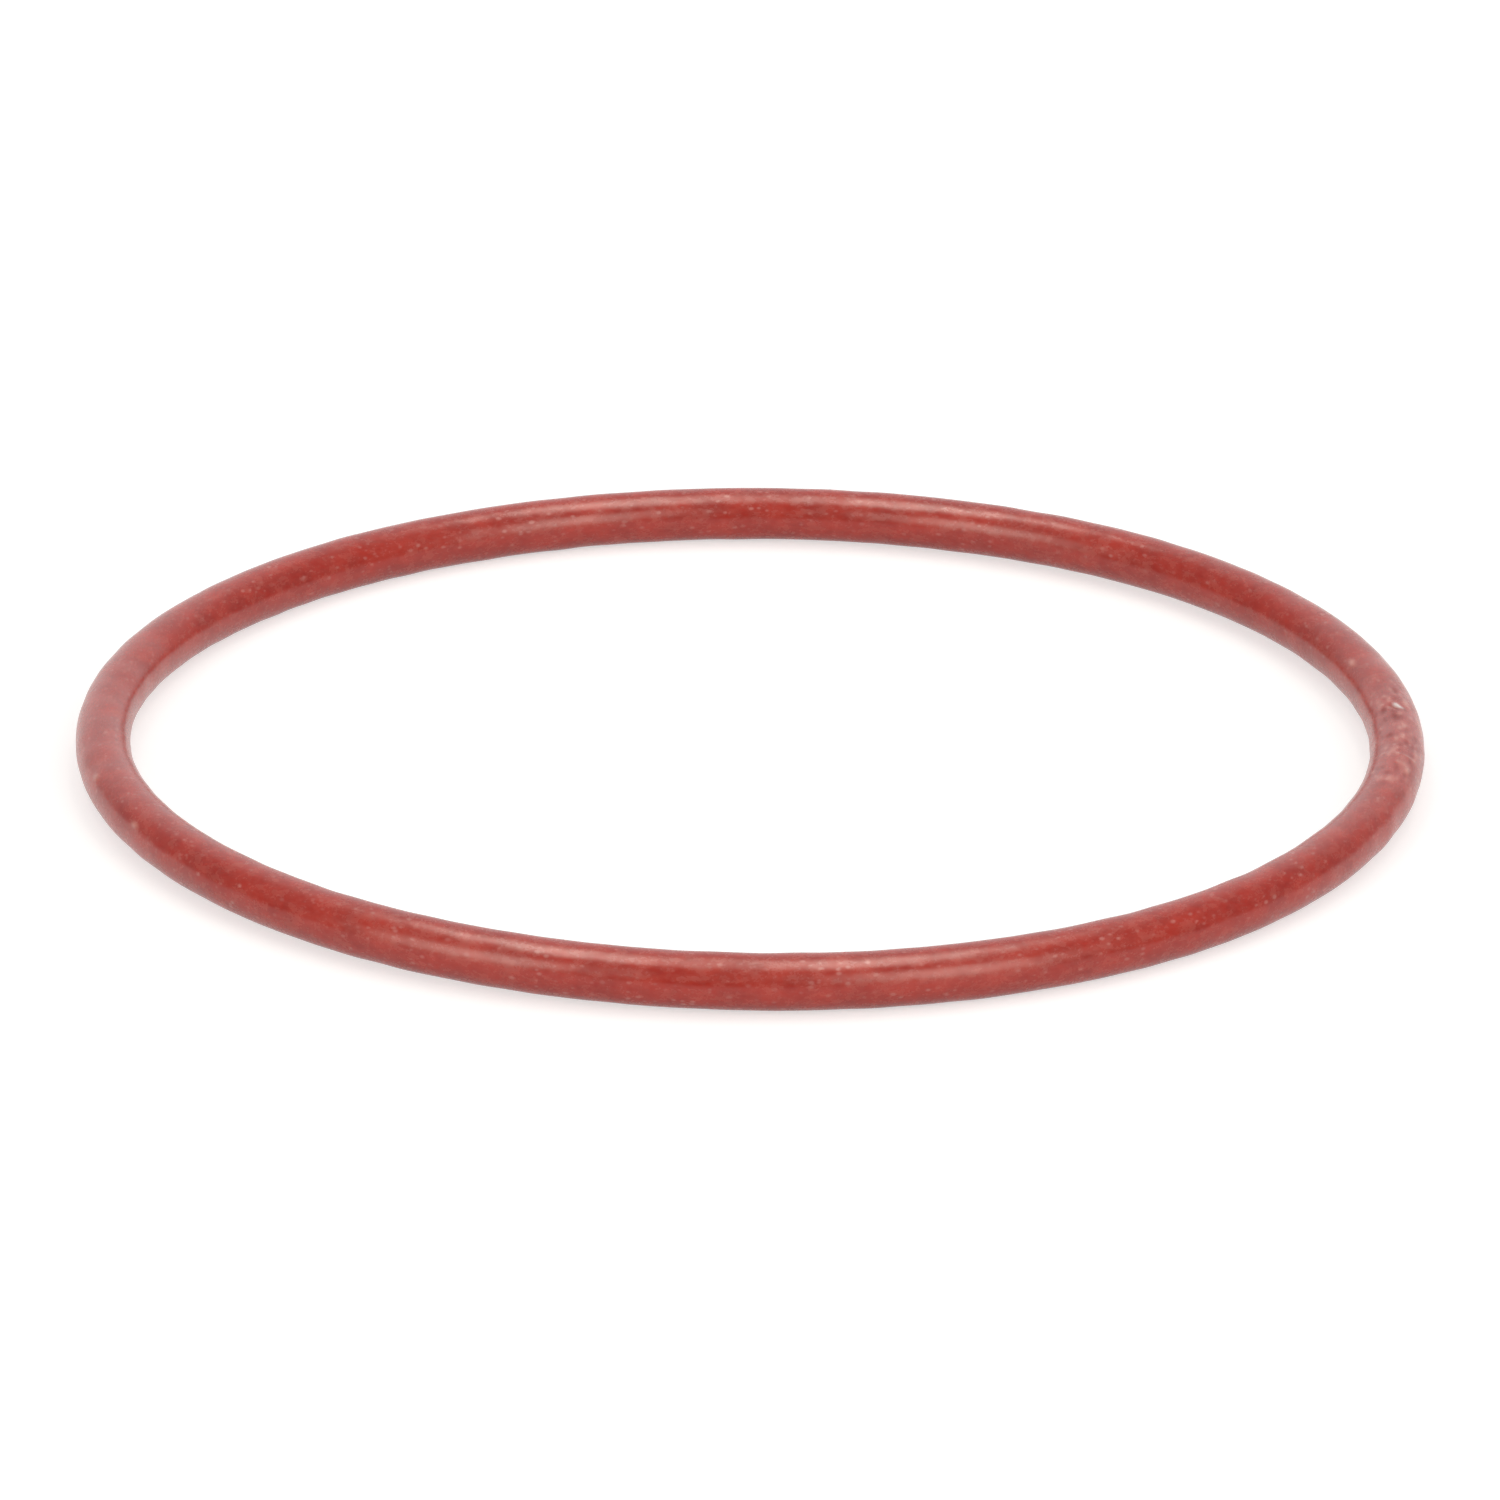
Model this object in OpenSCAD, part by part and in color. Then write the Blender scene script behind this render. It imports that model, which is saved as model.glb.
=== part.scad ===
// Silicone O-ring: one moulded ring of round cord, shown lying flat, as it is before it is fitted.
// The origin is the centre of the ring, on its own axis and at half the height of the cord.
// +Z runs along that axis, so the ring rests on a table at Z = -cord_d / 2.

/* [Ring] */
// Inside diameter of the free ring, measured across the hole before it is stretched onto a shaft
inner_d = 68; // [20:0.5:200]
// Diameter of the round cord, which is also the height of the ring as it lies
cord_d = 3; // [1:0.1:8]

/* [Hidden] */

// Circle that the middle of the cord follows
pitch_d = inner_d + cord_d;

// Facets of the preview: around the axis, and around the cord
ring_fn = 240;
cord_fn = 64;

// The cord's full round section, standing beside the axis where the hole ends
module cord_section() {
    translate([pitch_d / 2, 0])
        circle(d = cord_d, $fn = cord_fn);
}

// The whole ring: the section swept once round the axis, with no seam, land or flat on it
module o_ring() {
    color("#ab443d")
        rotate_extrude($fn = ring_fn)
            cord_section();
}

o_ring();
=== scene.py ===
# %% [markdown]
# # A red silicone O-ring on a white table
# An O-ring is a plain closed ring of round rubber cord, squeezed in a groove so that nothing leaks past.
# There is only one piece here, so everything that makes it look real comes from four things: the exact
# roundness of the ring, the small ways in which a soft ring is never quite flat, the marks of its making,
# and the way satin rubber gives back the light of the lamps.

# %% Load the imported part
import math

import bpy
import numpy as np
from mathutils import Matrix, Vector


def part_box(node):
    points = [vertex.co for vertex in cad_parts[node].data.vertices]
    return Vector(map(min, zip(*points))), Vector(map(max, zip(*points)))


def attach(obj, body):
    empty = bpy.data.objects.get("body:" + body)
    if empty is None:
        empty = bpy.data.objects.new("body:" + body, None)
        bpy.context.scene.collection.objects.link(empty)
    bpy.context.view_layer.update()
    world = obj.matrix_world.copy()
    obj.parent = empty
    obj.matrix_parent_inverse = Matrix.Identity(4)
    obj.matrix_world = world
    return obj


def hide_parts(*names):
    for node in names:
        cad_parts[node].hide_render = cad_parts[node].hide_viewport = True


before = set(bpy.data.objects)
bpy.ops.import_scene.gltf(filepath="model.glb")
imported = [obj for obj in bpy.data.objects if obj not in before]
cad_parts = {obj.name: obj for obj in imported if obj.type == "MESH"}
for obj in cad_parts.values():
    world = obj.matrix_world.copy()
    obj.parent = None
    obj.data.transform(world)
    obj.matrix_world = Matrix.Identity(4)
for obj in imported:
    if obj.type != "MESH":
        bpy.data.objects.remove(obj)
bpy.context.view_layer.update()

# %% [markdown]
# ## Helpers
# Blender works in metres, but a seal is thought of in millimetres, so one factor turns one to the other.
# Colours are written the way a screen shows them, and shaders want them linear, so one function turns
# a hex value to the four numbers that a colour socket takes. One more adds a node to a material with
# its settings, its values and its links, so that each material below reads as a list of steps.

# %% Units and colours
MM = 0.001


def linear(hex_colour):
    """The linear colour, with alpha 1, of an sRGB hex value such as "#ab443d"."""
    channels = []
    for start in (1, 3, 5):
        value = int(hex_colour[start:start + 2], 16) / 255
        if value <= 0.04045:
            channels.append(value / 12.92)
        else:
            channels.append(((value + 0.055) / 1.055) ** 2.4)
    return (*channels, 1.0)


# %% One node, with its settings and links
def add_node(tree, kind, values=None, links=None, **settings):
    """Adds a node: settings are its options, values fill its sockets, links feed them from other nodes."""
    node = tree.nodes.new(kind)
    for name, value in settings.items():
        setattr(node, name, value)
    for socket, value in (values or {}).items():
        node.inputs[socket].default_value = value
    for socket, source in (links or {}).items():
        tree.links.new(source, node.inputs[socket])
    return node


# %% [markdown]
# ## The camera
# The photograph looks down on the ring by about 21 degrees through a long lens, so the near side of the
# ring is only a little thicker than the far side. A short lens from close by would show it much thicker.
# A camera fitted to the ring's outline stands 548 mm away and has a narrow field of view. It also leans
# by half a degree, which tips the oval very slightly.

# %% Camera
CAMERA_DISTANCE = 548.2 * MM
CAMERA_ELEVATION = math.radians(21.157)
CAMERA_AIM_DOWN = math.radians(21.254)
CAMERA_LEAN = math.radians(0.5075)
SENSOR_WIDTH_MM = 36
FOCAL_LENGTH_MM = 239.386

camera = bpy.data.objects.new("camera", bpy.data.cameras.new("camera"))
bpy.context.scene.collection.objects.link(camera)
camera.data.sensor_width = SENSOR_WIDTH_MM
camera.data.lens = FOCAL_LENGTH_MM
camera.data.clip_start = 50 * MM
camera.data.clip_end = 20000 * MM
place = Vector((0, -math.cos(CAMERA_ELEVATION), math.sin(CAMERA_ELEVATION))) * CAMERA_DISTANCE
aim = Matrix.Rotation(math.pi / 2 - CAMERA_AIM_DOWN, 4, "X")
lean = Matrix.Rotation(CAMERA_LEAN, 4, "Z")
camera.matrix_world = Matrix.Translation(place) @ aim @ lean
bpy.context.scene.camera = camera
print("camera at, mm:", [round(v / MM, 1) for v in place])

# %% [markdown]
# ## The shape of the ring
# The body is a torus: a round cord of 3 mm swept once round a circle. A mesh torus from the menu would
# be too perfect. A soft ring that was cooled, packed and laid down by hand never lies quite flat, and
# here two opposite places stand up by about a sixth of a millimetre while the two between them dip as
# much. That saddle is a wave that goes round the ring twice, added to the height of every point.
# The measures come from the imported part, so the dressed ring is the same size as the solid one.

# %% Sizes of the ring
low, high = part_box("o_ring")
CORD_RADIUS = (high.z - low.z) / 2
OUTER_RADIUS = (high.x - low.x) / 2
PITCH_RADIUS = OUTER_RADIUS - CORD_RADIUS
print("cord, mm:", round(2 * CORD_RADIUS / MM, 2), " pitch circle, mm:", round(2 * PITCH_RADIUS / MM, 2))

SADDLE = 0.156 * MM
SADDLE_TURN = math.radians(42.2)
FLOOR_HEIGHT = -CORD_RADIUS - SADDLE

# %% [markdown]
# Such a ring is pressed in a mould from a strip of raw rubber. Where the ends of the strip bonded, a
# hair-thin line stays across the cord, here near the right end of the ring, in a stretch that the
# trimming left a little rough. A small nick sits on the crown of the cord close by. To carry marks this
# small, the mesh has its rows three times as close there and a little beyond: a density of rows is
# summed round the ring and then read backwards, which gives every row its angle.

# %% Rows round the ring, closer together at the bond
ROWS = 1160
ROWS_CLOSER = 3
POINTS_ROUND_CORD = 84
TRIMMED_MIDDLE = math.radians(-4.0)
TRIMMED_HALF = math.radians(13.0)


def turn_from(angle, centre):
    """The signed angle from centre to angle, the short way round."""
    return (angle - centre + np.pi) % (2 * np.pi) - np.pi


def plateau(distance, half_width):
    """1 in the middle of a stretch, about a third at half_width from it, and soon 0 beyond that."""
    return np.exp(-(distance / half_width) ** 4)


sample = np.linspace(-np.pi, np.pi, 20001)
closer = plateau(turn_from(sample, TRIMMED_MIDDLE), 1.3 * TRIMMED_HALF)
density = 1 + (ROWS_CLOSER - 1) * closer
steps = np.concatenate([[0], np.cumsum((density[1:] + density[:-1]) / 2)])
row_angle = np.interp(np.arange(ROWS) / ROWS * steps[-1], steps, sample)
print("row spacing, mm:", round(np.diff(row_angle).min() * OUTER_RADIUS / MM, 3), "to",
      round(np.diff(row_angle).max() * OUTER_RADIUS / MM, 3))

# %% [markdown]
# Each point of the mesh is known by two angles: round the axis, and round the cord. The surface is then
# the round section plus a few heights, all in hundredths of a millimetre, which are summed in a relief.

# %% The two angles of every point
cord_angle = np.linspace(0, 2 * np.pi, POINTS_ROUND_CORD, endpoint=False)
around, section = np.meshgrid(row_angle, cord_angle, indexing="ij")
relief = np.zeros_like(around)
print("points:", around.size)

# %% [markdown]
# The first heights are slow waves that a soft ring takes from its mould and from handling. They are too
# low to see as a shape, but they make the lamps' reflections waver. Each goes a whole number of times
# round both ways, so it closes on itself, and one with many turns is lower than one with few.

# %% Waves along and round the cord
WAVES = 48
WAVE_HEIGHT = 0.0035 * MM
FEW_TURNS = 12

random = np.random.default_rng(7)
for wave in range(WAVES):
    turns = int(random.integers(5, 90))
    lobes = int(random.integers(-3, 4))
    phase = random.uniform(0, 2 * np.pi)
    wave_height = WAVE_HEIGHT * (FEW_TURNS / (FEW_TURNS + turns)) ** 0.5
    relief += wave_height * np.cos(turns * around + lobes * section + phase)
print("waves, mm:", round(relief.min() / MM, 4), "to", round(relief.max() / MM, 4))

# %% [markdown]
# The bond is a low ridge across the cord. It was trimmed by hand, so it comes and goes: at six places
# round the cord it is whole, and between them a quarter of it is left. A slight skew keeps it from lying
# exactly square to the cord.

# %% The bond
BOND_ANGLE = math.radians(-9.6)
BOND_HALF_WIDTH = 0.11 * MM
BOND_HEIGHT = 0.018 * MM
BOND_SKEW = 0.12 * MM
WHOLE_PLACES = 6
FIRST_WHOLE_PLACE = math.radians(119)
LEFT_BETWEEN = 0.25


def bell(distance, half_width):
    """A soft ridge: 1 on its crest, and about a third at half_width from it."""
    return np.exp(-(distance / half_width) ** 2)


along_from_bond = turn_from(around, BOND_ANGLE) * PITCH_RADIUS
bond = bell(along_from_bond - BOND_SKEW * np.sin(section), BOND_HALF_WIDTH)
whole = np.clip(np.cos(WHOLE_PLACES * (section - FIRST_WHOLE_PLACE)), 0, 1)
bond *= LEFT_BETWEEN + (1 - LEFT_BETWEEN) * whole
relief += BOND_HEIGHT * bond
print("bond, mm high:", round(BOND_HEIGHT / MM, 3))

# %% [markdown]
# Most other marks are soft spots or sums of them. Rubbing draws a mark out along the cord, so a spot is
# 2.4 times as long as it is wide.

# %% One soft spot
RUBBED_OUT = 2.4


def spot(turn, side, size):
    """A soft spot, 1 in its middle: degrees round the ring and round the cord, and half its width in mm."""
    along = turn_from(around, math.radians(turn)) * PITCH_RADIUS / RUBBED_OUT
    across = turn_from(section, math.radians(side)) * CORD_RADIUS
    return np.exp(-(along ** 2 + across ** 2) / (size * MM) ** 2)


# %% [markdown]
# The trimmed stretch is nearly three hundred small spots at random, some raised and some sunk, most of
# them near the top of the cord. They fade out towards both ends of the stretch and down its sides.

# %% The trimmed stretch
LUMPS = 280
LUMP_HEIGHT = 0.005 * MM
LUMP_STRENGTH = 1.35
LUMP_SIDE = 85
LUMP_SPREAD = 38
lumps = np.zeros_like(around)
for lump in range(LUMPS):
    turn = math.degrees(TRIMMED_MIDDLE + random.uniform(-1.1, 1.1) * TRIMMED_HALF)
    strength = random.normal(0, LUMP_STRENGTH)
    side = LUMP_SIDE + random.normal(0, LUMP_SPREAD)
    size = random.uniform(0.09, 0.17)
    lumps += strength * spot(turn, side, size)
trimmed = plateau(turn_from(around, TRIMMED_MIDDLE), TRIMMED_HALF)
trimmed *= np.clip(0.45 + 0.75 * np.cos(section - math.radians(75)), 0, 1)
lumps *= trimmed
relief += LUMP_HEIGHT * lumps
print("trimmed stretch, mm long:", round(2 * TRIMMED_HALF * PITCH_RADIUS / MM, 1), " lumps, mm:",
      round(LUMP_HEIGHT * lumps.min() / MM, 3), "to", round(LUMP_HEIGHT * lumps.max() / MM, 3))

# %% [markdown]
# A few marks are large enough to be placed one by one: three pocks beside the nick, and four pimples
# where a coarse grain of filler lifts the skin.

# %% Pocks and pimples
POCK_DEPTH = 0.020 * MM
PIMPLE_HEIGHT = 0.045 * MM
pocks = spot(5.6, 80, 0.20) + spot(1.2, 115, 0.14) + spot(-0.8, 92, 0.24)
pimples = spot(14.1, 130, 0.17) + spot(-12.1, 51, 0.16) + spot(-164, 38, 0.15) + spot(-153, 30, 0.14)
relief += PIMPLE_HEIGHT * pimples - POCK_DEPTH * pocks
print("pocks, mm deep:", round(POCK_DEPTH / MM, 3), " pimples, mm high:", round(PIMPLE_HEIGHT / MM, 3))

# %% [markdown]
# The nick is a short curved cut, and the rubber that it pushed aside stands up along it as a lip. Cutting
# it out with a Boolean would leave sharp edges that rubber doesn't have. Two distances do it instead,
# one along the cut and one across it, and both the cut and the lip are bell-shaped across. To bend the
# cut, the distance across grows with the square of the distance along.

# %% The nick on the crown of the cord
NICK_ANGLE = math.radians(1.7)
NICK_SIDE = math.radians(89)
NICK_SLOPE = math.radians(31)
NICK_HALF_LENGTH = 0.42 * MM
NICK_BEND = 0.5
NICK_DEPTH = 0.06 * MM
LIP_HEIGHT = 0.05 * MM
along = turn_from(around, NICK_ANGLE) * PITCH_RADIUS
across = turn_from(section, NICK_SIDE) * CORD_RADIUS
lengthwise = along * math.cos(NICK_SLOPE) + across * math.sin(NICK_SLOPE)
sideways = across * math.cos(NICK_SLOPE) - along * math.sin(NICK_SLOPE) + NICK_BEND * lengthwise ** 2 / MM
reach = plateau(lengthwise, NICK_HALF_LENGTH)
cut = bell(sideways - 0.17 * MM, 0.15 * MM) * reach
lip = bell(sideways + 0.09 * MM, 0.14 * MM) * reach
relief += LIP_HEIGHT * lip - NICK_DEPTH * cut
print("nick, mm deep:", round(NICK_DEPTH / MM, 3), " lip, mm high:", round(LIP_HEIGHT / MM, 3))

# %% [markdown]
# For the material, the marks are gathered in two amounts from 0 to 1. What is sunk has less shine and is
# painted darker as shade, and what is raised is painted pale, partly as rubbed wear and partly as a painted
# highlight. A pock or a pimple counts for a little more than 1, so its middle is even, and a lump counts for
# less than half of its strength.

# %% Dull marks with painted shade, and pale marks with painted highlight
SPOT_AMOUNT = 1.2
SUNK_LUMP_AMOUNT = 0.45
RAISED_LUMP_AMOUNT = 0.40
# Sunk places: a darker colour that is painted shade, and less shine.
dull_and_shaded_marks = np.clip(cut + SPOT_AMOUNT * pocks + SUNK_LUMP_AMOUNT * np.clip(-lumps, 0, 2), 0, 1)
# Raised places: a paler colour, partly rubbed wear and partly a painted highlight.
rubbed_and_highlit_marks = np.clip(SPOT_AMOUNT * pimples + RAISED_LUMP_AMOUNT * np.clip(lumps, 0, 2), 0, 1)
print("share of the points that are dull:", round(float((dull_and_shaded_marks > 0.1).mean()), 3),
      " and pale:", round(float((rubbed_and_highlit_marks > 0.1).mean()), 3))

# %% [markdown]
# ## The mesh
# The two angles and the height give each point its place, and four neighbours make a face. Because both
# directions close on themselves, the grid has no edge and the ring has no seam. The marks are stored on
# the mesh as plain numbers, so that the material knows where they are without a picture being painted.

# %% Build the ring
reach_out = PITCH_RADIUS + (CORD_RADIUS + relief) * np.cos(section)
saddle = SADDLE * np.cos(2 * (around - SADDLE_TURN))
points = np.stack([
    reach_out * np.cos(around),
    reach_out * np.sin(around),
    (CORD_RADIUS + relief) * np.sin(section) + saddle,
], axis=-1).reshape(-1, 3)

index = np.arange(ROWS * POINTS_ROUND_CORD).reshape(ROWS, POINTS_ROUND_CORD)
next_row = np.roll(index, -1, axis=0)
next_point = np.roll(index, -1, axis=1)
next_both = np.roll(next_row, -1, axis=1)
faces = np.stack([index, next_row, next_both, next_point], axis=-1).reshape(-1, 4)

ring_mesh = bpy.data.meshes.new("moulded_ring")
ring_mesh.from_pydata(points.tolist(), [], faces.tolist())
ring_mesh.polygons.foreach_set("use_smooth", [True] * len(faces))
stored = {"bond": bond, "dull_and_shaded_marks": dull_and_shaded_marks, "rubbed_and_highlit_marks": rubbed_and_highlit_marks, "nick_lip": lip}
for name, field in stored.items():
    attribute = ring_mesh.attributes.new(name, "FLOAT", "POINT")
    attribute.data.foreach_set("value", field.astype(np.float32).ravel())
print("ring:", len(ring_mesh.vertices), "points,", 2 * len(faces), "triangles")

# %% [markdown]
# The patterns in the rubber are drawn out along the cord as well, by a factor of 1.6. A pattern that
# fills space can be drawn out round a ring without a seam: each point is given a second place, in
# millimetres, on a ring that is 1.6 times smaller but has the same cord. A pattern that is even there
# comes out longer on the real ring.

# %% The place where the patterns are read
DRAWN_OUT = 1.6
drawn_ring = PITCH_RADIUS / DRAWN_OUT + CORD_RADIUS * np.cos(section)
drawn_place = np.stack([
    drawn_ring * np.cos(around),
    drawn_ring * np.sin(around),
    CORD_RADIUS * np.sin(section),
], axis=-1) / MM
attribute = ring_mesh.attributes.new("drawn_place", "FLOAT_VECTOR", "POINT")
attribute.data.foreach_set("vector", drawn_place.astype(np.float32).ravel())
ring_mesh.update()
print("patterns are read on a pitch circle of, mm:", round(2 * PITCH_RADIUS / DRAWN_OUT / MM, 1))

# %% [markdown]
# The finished mesh takes the place of the plain solid, moves with the part and fills its material slot.

# %% Put the ring in the scene
ring = bpy.data.objects.new("silicone_ring", ring_mesh)
bpy.context.scene.collection.objects.link(ring)
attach(ring, "root")
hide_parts("o_ring")
print("pieces:", [ring.name])

# %% [markdown]
# ## Red silicone rubber, moulded and cured
# Silicone for hot seals is coloured with iron oxide, which gives a brick red that is the same right
# through. Its surface is neither glossy nor matt: a satin skin with a low index of about 1.41, which
# shows the lamps as soft streaks and goes pale where the eye grazes along it. The filler and the talc
# that keeps the rings from sticking show as fine pale specks, 0.1 to 0.3 mm wide. The colour is mixed
# in steps. A mix node holds sockets for numbers, vectors and colours under the same names, so those for
# colours are picked by their places.

# %% Start the silicone
MIX_SHARE = 0
MIX_FIRST = 6
MIX_SECOND = 7
MIX_RESULT = 2

silicone = bpy.data.materials.new("iron_oxide_red_silicone_satin")
silicone.use_nodes = True
tree = silicone.node_tree
tree.nodes.clear()
in_mm = add_node(tree, "ShaderNodeAttribute", attribute_name="drawn_place")
print("material:", silicone.name)

# %% [markdown]
# ### Its colour
# The red is not one value. The pigment clouds a little over a millimetre or so, from a deeper to a
# lighter red, and a finer mottle of half a millimetre makes it paler in places. The pattern is read in
# millimetres, so its scale is one over the size of a cloud.

# %% Clouds and mottle in the pigment
CLOUD_SIZE = 1.25
MOTTLE_SIZE = 0.48
DEEP_RED = "#9d2318"
LIGHT_RED = "#af2d1f"
MOTTLE_PINK = "#cf8475"
clouds = add_node(tree, "ShaderNodeTexNoise",
                  values={"Scale": 1 / CLOUD_SIZE, "Detail": 3, "Roughness": 0.6},
                  links={"Vector": in_mm.outputs["Vector"]})
cloud_share = add_node(tree, "ShaderNodeMapRange", values={"From Min": 0.35, "From Max": 0.65},
                       links={"Value": clouds.outputs["Fac"]})
cloud_colour = add_node(tree, "ShaderNodeMix", data_type="RGBA",
                        values={MIX_FIRST: linear(DEEP_RED), MIX_SECOND: linear(LIGHT_RED)},
                        links={MIX_SHARE: cloud_share.outputs[0]})
mottle = add_node(tree, "ShaderNodeTexNoise",
                  values={"Scale": 1 / MOTTLE_SIZE, "Detail": 3, "Roughness": 0.70},
                  links={"Vector": in_mm.outputs["Vector"]})
mottle_pale = add_node(tree, "ShaderNodeMapRange",
                       values={"From Min": 0.38, "From Max": 0.70, "To Max": 0.17},
                       links={"Value": mottle.outputs["Fac"]})
pigment = add_node(tree, "ShaderNodeMix", data_type="RGBA", values={MIX_SECOND: linear(MOTTLE_PINK)},
                   links={MIX_SHARE: mottle_pale.outputs[0], MIX_FIRST: cloud_colour.outputs[MIX_RESULT]})
print("clouds, mm:", CLOUD_SIZE, " mottle, mm:", MOTTLE_SIZE)

# %% [markdown]
# ### Talc and filler
# Thousands of tiny pale chips could be scattered over the ring, but a cell pattern in its colour shows
# the same and costs nothing. It puts one grain in each cell of 0.3 mm. The cell's own random value
# decides how large its grain is, up to 0.42 of a cell from its middle to its edge. In every third cell
# it hardly shows.

# %% Grains
GRAIN_CELL = 0.3
LARGEST_GRAIN = 0.42
EMPTY_CELLS = 0.35
grains = add_node(tree, "ShaderNodeTexVoronoi", values={"Scale": 1 / GRAIN_CELL, "Randomness": 1.0},
                  links={"Vector": in_mm.outputs["Vector"]})
grain_value = add_node(tree, "ShaderNodeSeparateColor", links={0: grains.outputs["Color"]})
grain_size = add_node(tree, "ShaderNodeMapRange",
                      values={"From Min": EMPTY_CELLS, "To Max": LARGEST_GRAIN},
                      links={"Value": grain_value.outputs[0]})
grain_inside = add_node(tree, "ShaderNodeMath", operation="SUBTRACT",
                        links={0: grain_size.outputs[0], 1: grains.outputs["Distance"]})
grain_mask = add_node(tree, "ShaderNodeMapRange", interpolation_type="SMOOTHSTEP",
                      values={"From Min": -0.10, "From Max": 0.26},
                      links={"Value": grain_inside.outputs[0]})
print("largest grain, mm wide:", round(2 * LARGEST_GRAIN * GRAIN_CELL, 2))

# %% [markdown]
# Talc is wiped off in one place and stays in another. A slow noise sets how strongly the grains show,
# from an eighth to about a third of their pale pink.

# %% Patches where the talc stayed
PATCH_SIZE = 3.3
TALC_PINK = "#dda79f"
patches = add_node(tree, "ShaderNodeTexNoise",
                   values={"Scale": 1 / PATCH_SIZE, "Detail": 2, "Roughness": 0.5},
                   links={"Vector": in_mm.outputs["Vector"]})
patch_strength = add_node(tree, "ShaderNodeMapRange",
                          values={"From Min": 0.40, "From Max": 0.65, "To Min": 0.13, "To Max": 0.36},
                          links={"Value": patches.outputs["Fac"]})
grain_dust = add_node(tree, "ShaderNodeMath", operation="MULTIPLY",
                      links={0: grain_mask.outputs[0], 1: patch_strength.outputs[0]})
dusted = add_node(tree, "ShaderNodeMix", data_type="RGBA", values={MIX_SECOND: linear(TALC_PINK)},
                  links={MIX_SHARE: grain_dust.outputs[0], MIX_FIRST: pigment.outputs[MIX_RESULT]})
print("patches, mm:", PATCH_SIZE)

# %% [markdown]
# ### The marks
# The bond is a faint pale line. What is sunk is a browner red, which is painted shade in the hollows, what is
# raised is a pale salmon, partly rubbed wear and partly a painted highlight, and the lip of the nick is
# nearly white, as torn silicone is. Each mark is laid over the colour so far, by its amount on the mesh times
# the share that it has where it is full.

# %% Colours of the marks
SHARES_AND_COLOURS = {
    "bond": (0.5, "#d39a90"),
    # sunk places: a browner red that is painted shade
    "dull_and_shaded_marks": (0.5, "#7a231b"),
    # raised places: a pale salmon, partly rubbed wear and partly a painted highlight
    "rubbed_and_highlit_marks": (0.6, "#e0a192"),
    "nick_lip": (1.0, "#e8dbd7"),
}
marks = {}
ring_colour = dusted
for name, (share, hex_colour) in SHARES_AND_COLOURS.items():
    marks[name] = add_node(tree, "ShaderNodeAttribute", attribute_name=name)
    mark_share = add_node(tree, "ShaderNodeMath", operation="MULTIPLY", values={1: share},
                          links={0: marks[name].outputs["Fac"]})
    ring_colour = add_node(tree, "ShaderNodeMix", data_type="RGBA",
                           values={MIX_SECOND: linear(hex_colour)},
                           links={MIX_SHARE: mark_share.outputs[0],
                                  MIX_FIRST: ring_colour.outputs[MIX_RESULT]})
print("marks read from the mesh:", list(marks))

# %% [markdown]
# ### Its skin
# Satin means that reflections are blurred, here by a roughness near 0.27 that follows the mottle a
# little. A relief of about two thousandths of a millimetre, made of a soft unevenness and a little of
# the grains, breaks the edges of the lamps' streaks. In what is sunk the reflection is weaker.

# %% Roughness, fine relief and shine
UNEVENNESS_SIZE = 0.42
RELIEF_DISTANCE = 0.003 * MM
GRAIN_RELIEF = 0.4
BARE_SHINE = 0.7
DULL_SHINE = 0.25
skin_roughness = add_node(tree, "ShaderNodeMapRange",
                          values={"From Min": 0.35, "From Max": 0.65, "To Min": 0.235, "To Max": 0.295},
                          links={"Value": mottle.outputs["Fac"]})
unevenness = add_node(tree, "ShaderNodeTexNoise",
                      values={"Scale": 1 / UNEVENNESS_SIZE, "Detail": 1, "Roughness": 0.5},
                      links={"Vector": in_mm.outputs["Vector"]})
skin_height = add_node(tree, "ShaderNodeMath", operation="MULTIPLY_ADD", values={1: GRAIN_RELIEF},
                       links={0: grain_dust.outputs[0], 2: unevenness.outputs["Fac"]})
skin = add_node(tree, "ShaderNodeBump", values={"Strength": 1.0, "Distance": RELIEF_DISTANCE},
                links={"Height": skin_height.outputs[0]})
shine = add_node(tree, "ShaderNodeMapRange", values={"To Min": BARE_SHINE, "To Max": DULL_SHINE},
                 links={"Value": marks["dull_and_shaded_marks"].outputs["Fac"]})
print("unevenness, mm:", UNEVENNESS_SIZE)

# %% [markdown]
# One shader takes it all. The index is silicone's own. Its reflections in the photograph are a little
# stronger than the index alone gives, so the specular level, 0.5 as a rule, is 0.7 on the bare skin.

# %% The silicone shader
rubber = add_node(tree, "ShaderNodeBsdfPrincipled",
                  values={"IOR": 1.41, "Metallic": 0.0},
                  links={"Base Color": ring_colour.outputs[MIX_RESULT],
                         "Roughness": skin_roughness.outputs[0],
                         "Specular IOR Level": shine.outputs[0], "Normal": skin.outputs[0]})
add_node(tree, "ShaderNodeOutputMaterial", links={"Surface": rubber.outputs[0]})
ring_mesh.materials.append(silicone)
print("silicone nodes:", len(tree.nodes))

# %% [markdown]
# ## The table
# The ring lies on a plain white sheet. It touches it at the two low places of the saddle, and elsewhere
# a thin gap stays dark under the cord. One flat face does, three metres each way, so that its edge is
# far out of the picture.

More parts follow.
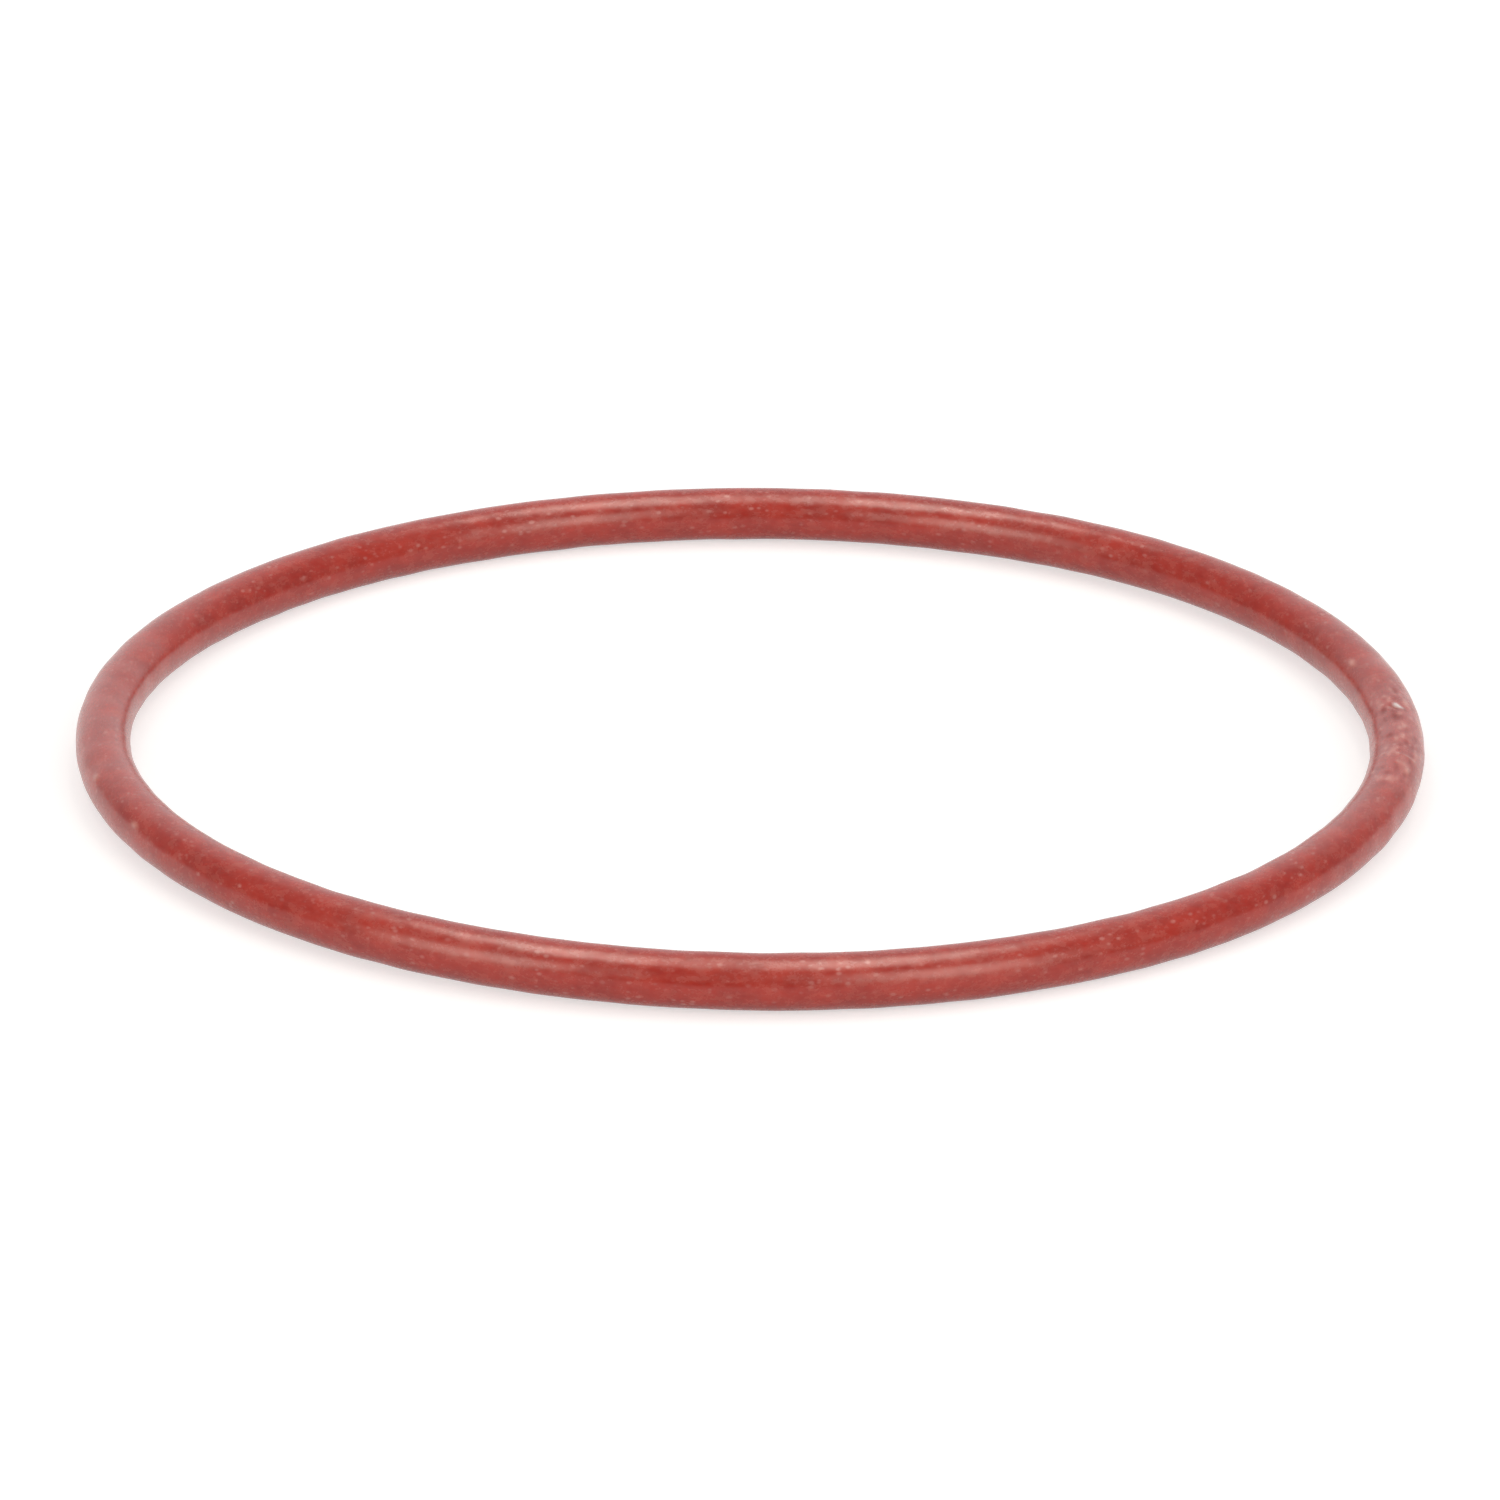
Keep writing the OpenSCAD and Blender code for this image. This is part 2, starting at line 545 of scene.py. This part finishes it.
# %% White sheet
SHEET_HALF = 3000 * MM
sheet_mesh = bpy.data.meshes.new("white_sheet")
sheet_corners = [(-SHEET_HALF, -SHEET_HALF, 0), (SHEET_HALF, -SHEET_HALF, 0),
                 (SHEET_HALF, SHEET_HALF, 0), (-SHEET_HALF, SHEET_HALF, 0)]
sheet_mesh.from_pydata(sheet_corners, [], [(0, 1, 2, 3)])
sheet = bpy.data.objects.new("white_sheet", sheet_mesh)
sheet.location.z = FLOOR_HEIGHT
bpy.context.scene.collection.objects.link(sheet)
print("sheet at, mm:", round(FLOOR_HEIGHT / MM, 3))

# %% [markdown]
# Uncoated paper is matt: it scatters light evenly and shows no reflection. Here it is a pale grey that
# gives back six tenths of the light, so that it throws no more up under the cord than the photograph
# shows. A glow that only the camera, reflections and clear things see lifts the bare sheet to full white
# and keeps the shadow soft. The light path node tells who looks.

# %% White paper
SHEET_GREY = "#cdcdcc"
SHEET_GLOW = 0.58


def seen_directly(tree):
    """Adds nodes that give 1 where the camera, a reflection or a clear thing looks, and 0 otherwise."""
    seen_by = add_node(tree, "ShaderNodeLightPath")
    camera_or_glossy = add_node(tree, "ShaderNodeMath", operation="MAXIMUM",
                                links={0: seen_by.outputs["Is Camera Ray"],
                                       1: seen_by.outputs["Is Glossy Ray"]})
    return add_node(tree, "ShaderNodeMath", operation="MAXIMUM",
                    links={0: camera_or_glossy.outputs[0], 1: seen_by.outputs["Is Transmission Ray"]})


paper = bpy.data.materials.new("white_paper_matt")
paper.use_nodes = True
tree = paper.node_tree
tree.nodes.clear()
glow_strength = add_node(tree, "ShaderNodeMath", operation="MULTIPLY", values={1: SHEET_GLOW},
                         links={0: seen_directly(tree).outputs[0]})
matt = add_node(tree, "ShaderNodeBsdfDiffuse", values={"Color": linear(SHEET_GREY)})
glow = add_node(tree, "ShaderNodeEmission", links={"Strength": glow_strength.outputs[0]})
both = add_node(tree, "ShaderNodeAddShader", links={0: matt.outputs[0], 1: glow.outputs[0]})
add_node(tree, "ShaderNodeOutputMaterial", links={"Surface": both.outputs[0]})
sheet_mesh.materials.append(paper)
print("material:", paper.name, " glow:", SHEET_GLOW)

# %% [markdown]
# ## The light
# The streaks on the cord are pictures of the lamps. Read backwards, they say that two long, narrow soft
# boxes hang side by side over the ring, along the line of sight, and that two broad ones stand in front,
# one on each side. A single large one would light the ring as well, but with one broad band on the cord.
# Their light is a little warm. Each box is two lamps in one place. The first lights everything, and the
# second shows in reflections alone, so the streaks can be as bright as in the photograph while the ring
# stays evenly lit. A lamp's power goes by the level it should give and not by its size, so a smaller box
# makes a brighter streak. A flat lamp lights what faces it with its watts divided by pi and by the
# distance squared, and white paper needs pi of that to look full white.

# %% One soft box
LAMP_DISTANCE = 1.4
LAMP_WHITE = "#fff4e7"
WATTS_FOR_WHITE = math.pi * math.pi * LAMP_DISTANCE ** 2


def soft_box(name, from_zenith, bearing, width, length, along, level, glint):
    """An area lamp that faces the ring, at an angle from straight up and a bearing from +Y towards +X.

    along is the direction that its long side follows as nearly as it can.
    level is what it alone would light a white surface facing it to, where 1 is full white.
    glint is added to that level for its picture on the cord alone.
    """
    tilt = math.radians(from_zenith)
    heading = math.radians(bearing)
    outward = Vector((math.sin(tilt) * math.sin(heading), math.sin(tilt) * math.cos(heading), math.cos(tilt)))
    side = Vector(along).cross(outward).normalized()
    facing = Matrix((side, outward.cross(side), outward)).transposed().to_4x4()
    for part, brightness in (("light", level), ("glint", glint)):
        lamp = bpy.data.lights.new(name + "_" + part, "AREA")
        lamp.shape = "RECTANGLE"
        lamp.size = width
        lamp.size_y = length
        lamp.color = linear(LAMP_WHITE)[:3]
        lamp.energy = brightness * WATTS_FOR_WHITE
        box = bpy.data.objects.new(name + "_" + part, lamp)
        box.matrix_world = Matrix.Translation(outward * LAMP_DISTANCE) @ facing
        bpy.context.scene.collection.objects.link(box)
        if part == "glint":
            box.visible_diffuse = False
    print(name, "at, mm:", [round(v / MM) for v in outward * LAMP_DISTANCE])


# %% [markdown]
# Their sizes and their distance are in metres, as in a small studio. Together with the room below, the
# four boxes light a surface that faces up to about 1, so a colour comes out as it is written.

# %% Four soft boxes
LINE_OF_SIGHT = (0, 1, 0)
UPRIGHT = (0, 0, 1)
soft_box("overhead_right", from_zenith=11.2, bearing=67, width=0.17, length=1.02, along=LINE_OF_SIGHT,
         level=0.07, glint=0.73)
soft_box("overhead_left", from_zenith=15.3, bearing=-68.5, width=0.13, length=1.02, along=LINE_OF_SIGHT,
         level=0.06, glint=0.70)
soft_box("front_right", from_zenith=63.5, bearing=144.9, width=0.60, length=0.86, along=UPRIGHT,
         level=0.195, glint=0.86)
soft_box("front_left", from_zenith=65.8, bearing=-135, width=0.65, length=0.75, along=UPRIGHT,
         level=0.165, glint=0.92)

# %% [markdown]
# The room is the world's background. An even white would do for the table, but the ring would reflect
# it all round and look chalky, so it has two parts. The camera and reflections see its walls, which are
# dark behind the camera and brightest low behind the ring, where the backdrop stands. All else is lit by
# the fill, which is nearly even: a little stronger from the right and the front, and from low down.

# %% The room
room = bpy.data.worlds.new("white_room")
bpy.context.scene.world = room
room.use_nodes = True
tree = room.node_tree
tree.nodes.clear()
direction = add_node(tree, "ShaderNodeTexCoord")
print("world:", room.name)

# %% [markdown]
# The backdrop stands straight behind the ring, 15 degrees up. How nearly a direction points to it is a
# dot product, from -1 to 1. Its upper end fades the backdrop in, and most of it the walls beside it.

# %% Its walls
BACKDROP_DIRECTION = (0.0, 0.966, 0.259)
BACKDROP_LEVEL = 0.54
WALL_LEVEL = 0.58
towards_backdrop = add_node(tree, "ShaderNodeVectorMath", operation="DOT_PRODUCT",
                            values={1: BACKDROP_DIRECTION}, links={0: direction.outputs["Generated"]})
backdrop = add_node(tree, "ShaderNodeMapRange", interpolation_type="SMOOTHSTEP",
                    values={"From Min": 0.63, "From Max": 0.88, "To Max": BACKDROP_LEVEL},
                    links={"Value": towards_backdrop.outputs["Value"]})
side_walls = add_node(tree, "ShaderNodeMapRange", values={"From Min": -0.6, "To Max": WALL_LEVEL},
                      links={"Value": towards_backdrop.outputs["Value"]})
wall_level = add_node(tree, "ShaderNodeMath", operation="ADD",
                      links={0: side_walls.outputs[0], 1: backdrop.outputs[0]})
walls = add_node(tree, "ShaderNodeBackground", values={"Color": linear("#ffffff")},
                 links={"Strength": wall_level.outputs[0]})
print("walls, brightest level:", round(WALL_LEVEL + BACKDROP_LEVEL, 2))

# %% [markdown]
# The fill leans by a dot product as well, with a short vector that adds or takes away 0.18 at most. The
# light path then picks one of the two, the walls for whatever looks and the fill for whatever is lit.

# %% Its fill, and the two together
FILL_LEVEL = 0.74
FILL_LEAN = (0.13, -0.08, -0.09)
towards_fill = add_node(tree, "ShaderNodeVectorMath", operation="DOT_PRODUCT", values={1: FILL_LEAN},
                        links={0: direction.outputs["Generated"]})
fill_level = add_node(tree, "ShaderNodeMath", operation="ADD", values={1: FILL_LEVEL},
                      links={0: towards_fill.outputs["Value"]})
fill = add_node(tree, "ShaderNodeBackground", values={"Color": linear("#ffffff")},
                links={"Strength": fill_level.outputs[0]})
either = add_node(tree, "ShaderNodeMixShader",
                  links={0: seen_directly(tree).outputs[0], 1: fill.outputs[0], 2: walls.outputs[0]})
add_node(tree, "ShaderNodeOutputWorld", links={"Surface": either.outputs[0]})
print("room nodes:", len(tree.nodes))

# %% [markdown]
# Blender's usual view softens bright colours the way film does. The standard view shows them as they are,
# so that white paper is white and the red is the red that was written.

# %% Show colours as they are
bpy.context.scene.view_settings.view_transform = "Standard"
print("view:", bpy.context.scene.view_settings.view_transform)
